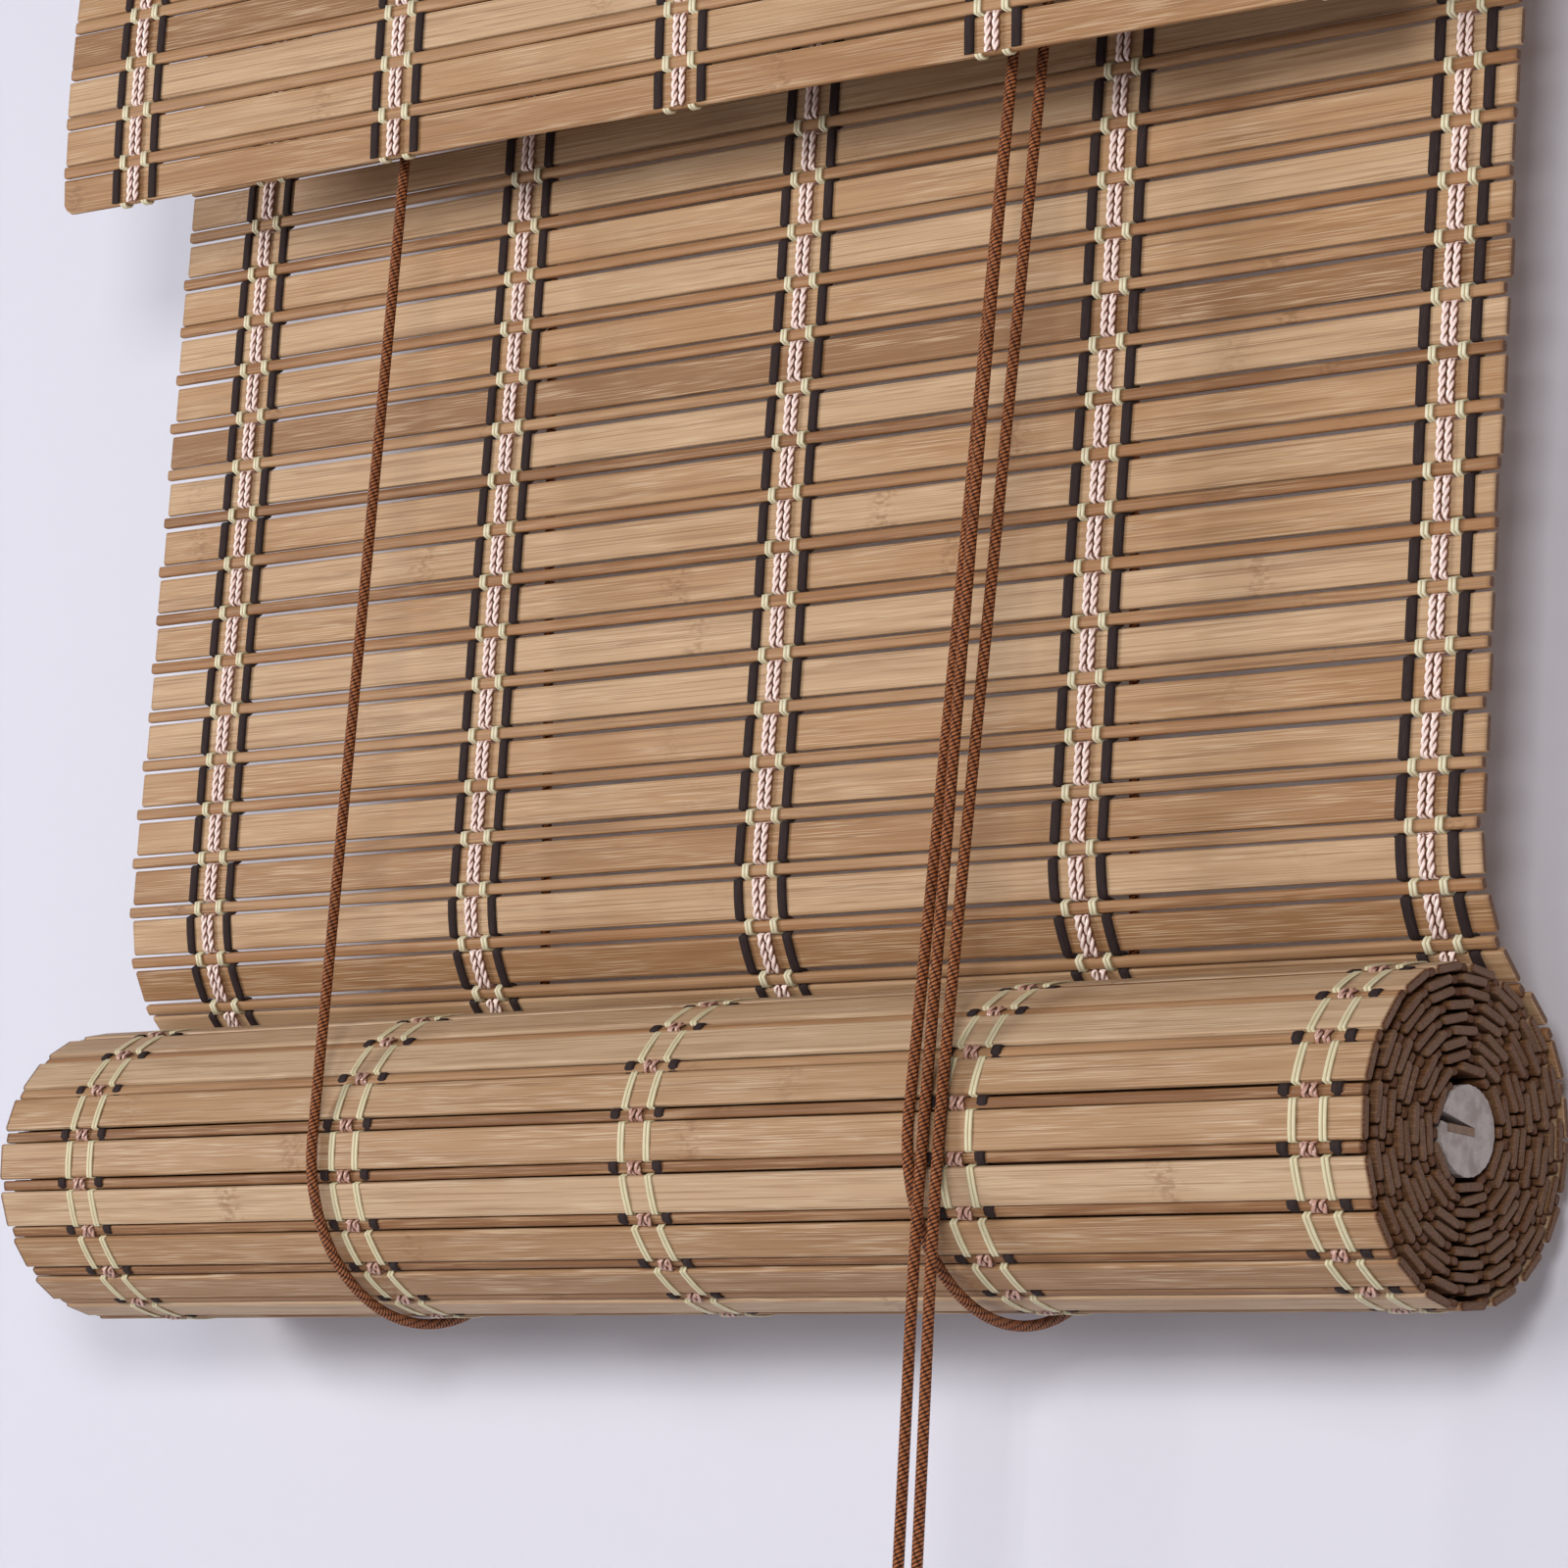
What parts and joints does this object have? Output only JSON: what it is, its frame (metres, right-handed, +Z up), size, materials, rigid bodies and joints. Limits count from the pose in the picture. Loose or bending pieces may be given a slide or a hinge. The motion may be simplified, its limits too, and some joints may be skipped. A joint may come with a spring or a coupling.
{
  "type": "bamboo roll up blind",
  "caption": "Roll-up window blind of bamboo slats and sticks laced by thread bands, part rolled up in two lift cords, with a head rail, valance, cord lock and pull cords.",
  "frame": {"origin": "middle of the head rail's top face, halfway between its two mounting holes", "axes": "+X along the width to the right as seen from the room, -Y towards the room, +Z up"},
  "size_m": [0.491, 0.1061, 0.598],
  "materials": {
    "bamboo": "split bamboo slats and narrow sticks, satin, with fine long grain",
    "thread_dark": "near-black brown weaving thread",
    "thread_cream": "cream weaving thread of two filaments",
    "thread_pink": "pair of shiny rose-coloured twisted threads",
    "core_wood": "raw sawn wood dowel, greyish",
    "rail_wood": "planed pale softwood",
    "pull_wood": "turned and varnished wood",
    "cord": "brown braided cord",
    "plated_steel": "zinc-plated sheet and wire",
    "wheel_plastic": "moulded off-white plastic",
    "jam_brass": "turned brass"
  },
  "bodies": {
    "root": {"hanging_mat": "bamboo", "valance_mat": "bamboo", "hanging_threads_dark": "thread_dark", "valance_threads_dark": "thread_dark", "hanging_threads_cream": "thread_cream", "valance_threads_cream": "thread_cream", "hanging_threads_pink": "thread_pink", "valance_threads_pink": "thread_pink", "head_rail": "rail_wood", "mat_batten": "rail_wood", "rear_run_left": "cord", "rear_run_right": "cord", "front_run_left": "cord", "front_run_right": "cord", "cross_run_left": "cord", "lock_turn_right": "cord", "pull_cord_left": "cord", "pull_cord_right": "cord", "anchor_knots": "cord", "pulley_bracket": "plated_steel", "lock_housing": "plated_steel", "pulley_pin": "plated_steel", "lock_guide_pin": "plated_steel", "screw_eyes": "plated_steel", "pulley_screws": "plated_steel", "lock_screws": "plated_steel", "batten_screws": "plated_steel", "mat_nails": "plated_steel", "valance_nails": "plated_steel"},
    "sling": {"sling_left": "cord", "sling_right": "cord"},
    "roll": {"rolled_mat": "bamboo", "core_dowel": "core_wood", "core_slat": "bamboo"},
    "pulley": {"pulley_wheel": "wheel_plastic"},
    "guide": {"lock_guide_roller": "wheel_plastic"},
    "jam": {"lock_jam_roller": "jam_brass"},
    "pull": {"wooden_pull": "pull_wood", "pull_knots": "cord"}
  },
  "joints": [
    {"name": "roll_lift", "type": "slide", "parent": "root", "child": "sling", "axis": [0, 0, 1], "range_m": [0, 0.33], "deforming": ["hanging_mat", "hanging_threads_dark", "hanging_threads_cream", "hanging_threads_pink", "front_run_left", "front_run_right", "rear_run_left", "rear_run_right"]},
    {"name": "roll_spin", "type": "hinge", "parent": "sling", "child": "roll", "pos_m": [0, 0.0169, -0.44159], "axis": [1, 0, 0], "range_deg": [-450, 0]},
    {"name": "pulley_spin", "type": "hinge", "parent": "root", "child": "pulley", "pos_m": [-0.1043, -0.0222, -0.0325], "axis": [0, 1, 0], "range_deg": [0, 5820]},
    {"name": "guide_spin", "type": "hinge", "parent": "root", "child": "guide", "pos_m": [0.1119, -0.0152, -0.0315], "axis": [0, 1, 0], "range_deg": [0, 6880]},
    {"name": "jam_slide", "type": "slide", "parent": "root", "child": "jam", "axis": [0.5, 0, -0.866], "range_m": [0, 0.005]},
    {"name": "pull_drop", "type": "slide", "parent": "root", "child": "pull", "axis": [0, 0, -1], "range_m": [0, 0.66], "deforming": ["pull_cord_left", "pull_cord_right"]}
  ],
  "couplings": [
    {"joint": "roll_spin", "follows": "roll_lift", "rad_per_m": -23.041},
    {"joint": "pulley_spin", "follows": "roll_lift", "rad_per_m": 307.69},
    {"joint": "guide_spin", "follows": "roll_lift", "rad_per_m": 363.64},
    {"joint": "pull_drop", "follows": "roll_lift", "ratio": 2}
  ]
}
